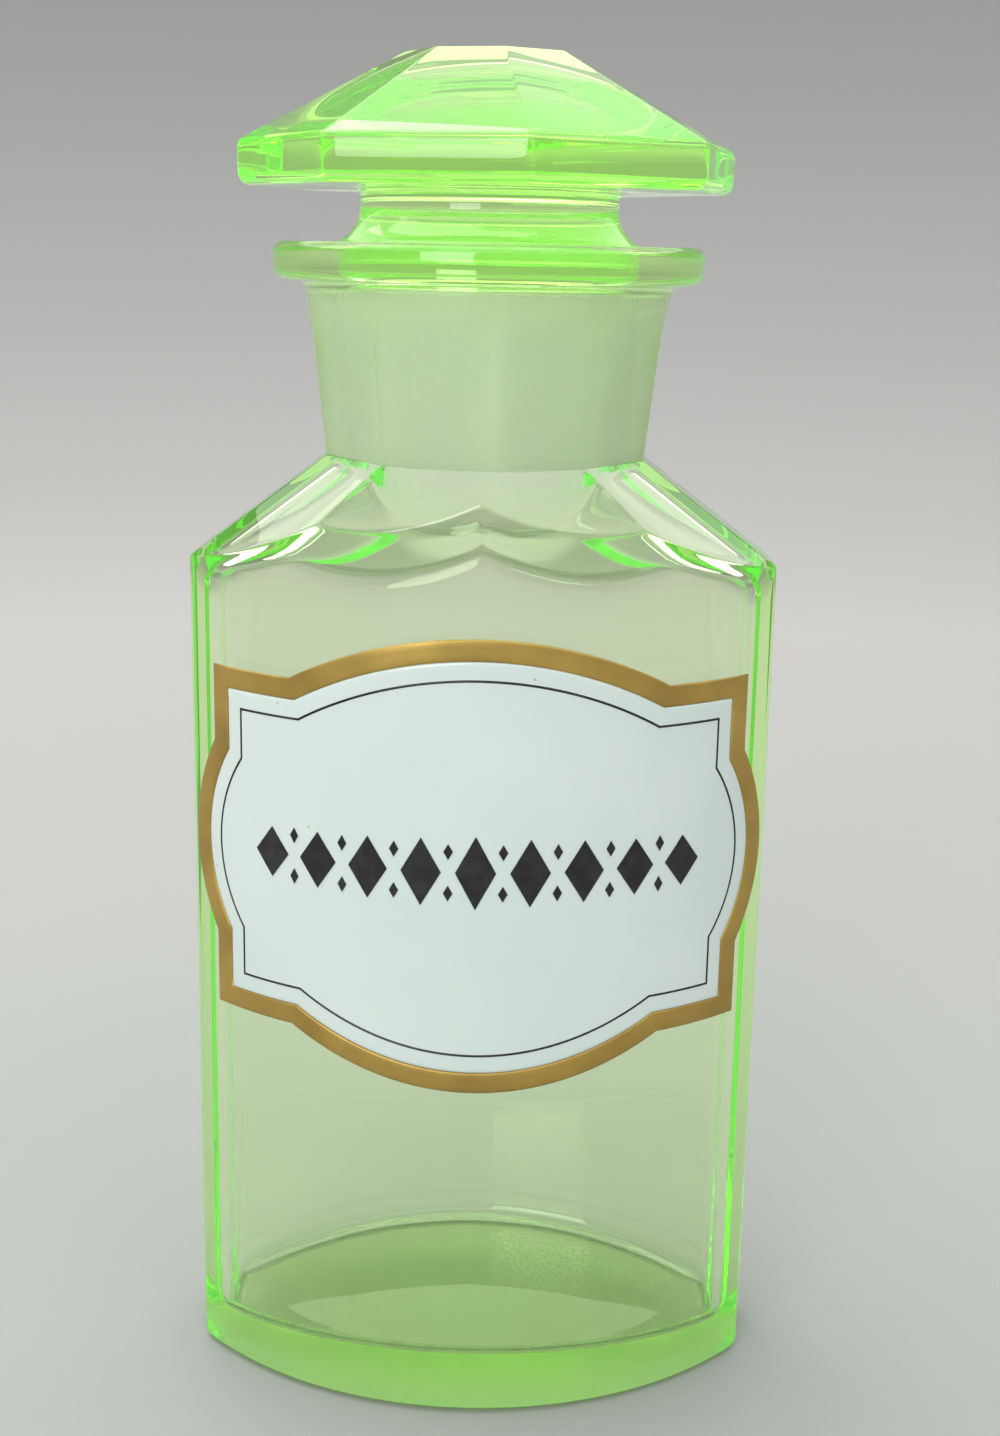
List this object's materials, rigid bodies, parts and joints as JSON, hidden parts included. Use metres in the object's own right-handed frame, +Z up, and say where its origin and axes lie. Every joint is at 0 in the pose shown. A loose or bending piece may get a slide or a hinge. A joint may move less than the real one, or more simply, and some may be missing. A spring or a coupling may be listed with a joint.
{
  "type": "apothecary jar",
  "caption": "Bowed pale green glass apothecary jar with a cut shoulder, faceted neck and flat lip, a ground-in glass stopper cut to an octagon, and a bordered enamel label on its front.",
  "frame": {"origin": "centre of the foot's flat underside", "axes": "+Z up through the neck and stopper, -Y out of the label's front, +X to the right of a viewer facing the label"},
  "size_m": [0.095, 0.0782, 0.2193],
  "materials": {
    "jar_glass": "polished",
    "stopper_glass": "polished",
    "bronze_enamel": "satin",
    "pale_enamel": "gloss",
    "black_enamel": "gloss"
  },
  "bodies": {
    "jar": {"jar": "jar_glass", "label_border": "bronze_enamel", "label_field": "pale_enamel", "label_line": "black_enamel", "label_ornament": "black_enamel"},
    "stopper": {"stopper": "stopper_glass"}
  },
  "joints": [
    {"name": "stopper_lift", "type": "slide", "parent": "jar", "child": "stopper", "axis": [0, 0, 1], "range_m": [0, 0.08]}
  ]
}
